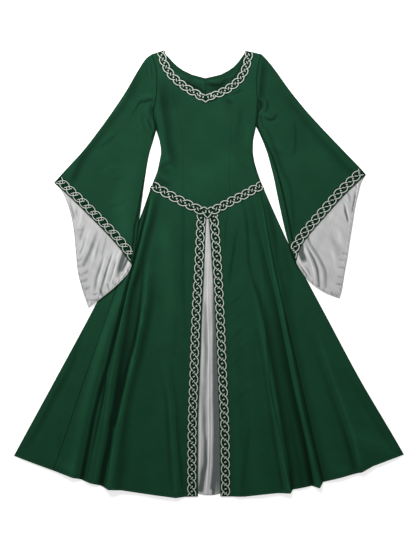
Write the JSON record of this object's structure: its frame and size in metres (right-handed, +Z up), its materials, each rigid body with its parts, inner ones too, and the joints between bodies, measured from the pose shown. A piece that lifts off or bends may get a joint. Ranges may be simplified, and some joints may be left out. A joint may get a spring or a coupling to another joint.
{
  "type": "long embroidered dress",
  "caption": "Full-length gown with a pointed waist, bell sleeves with long lined points, a front opening over a satin inset and scalloped interlace bands, laid flat.",
  "frame": {"origin": "centre of the gown's footprint, on the surface it lies on", "axes": "+X to the right of someone facing the gown, +Y from the hem to the neck, +Z up from the surface"},
  "size_m": [1.31, 1.502, 0.0233],
  "materials": {
    "green_crepe": "matte woven crepe",
    "silver_satin": "soft sheen satin",
    "silver_embroidery": "silver thread interlace on a dark green ground"
  },
  "bodies": {
    "root": {"back_left": "green_crepe", "back_right": "green_crepe", "bodice_front_centre": "green_crepe", "bodice_front_side_left": "green_crepe", "bodice_front_side_right": "green_crepe", "skirt_front_left": "green_crepe", "skirt_front_right": "green_crepe", "skirt_side_left": "green_crepe", "skirt_side_right": "green_crepe", "skirt_inset": "silver_satin", "sleeve_left": "green_crepe", "sleeve_right": "green_crepe", "sleeve_lining_left": "silver_satin", "sleeve_lining_right": "silver_satin", "trim_neck": "silver_embroidery", "trim_waist": "silver_embroidery", "trim_opening_left": "silver_embroidery", "trim_opening_right": "silver_embroidery", "trim_cuff_left": "silver_embroidery", "trim_cuff_right": "silver_embroidery"}
  },
  "joints": []
}
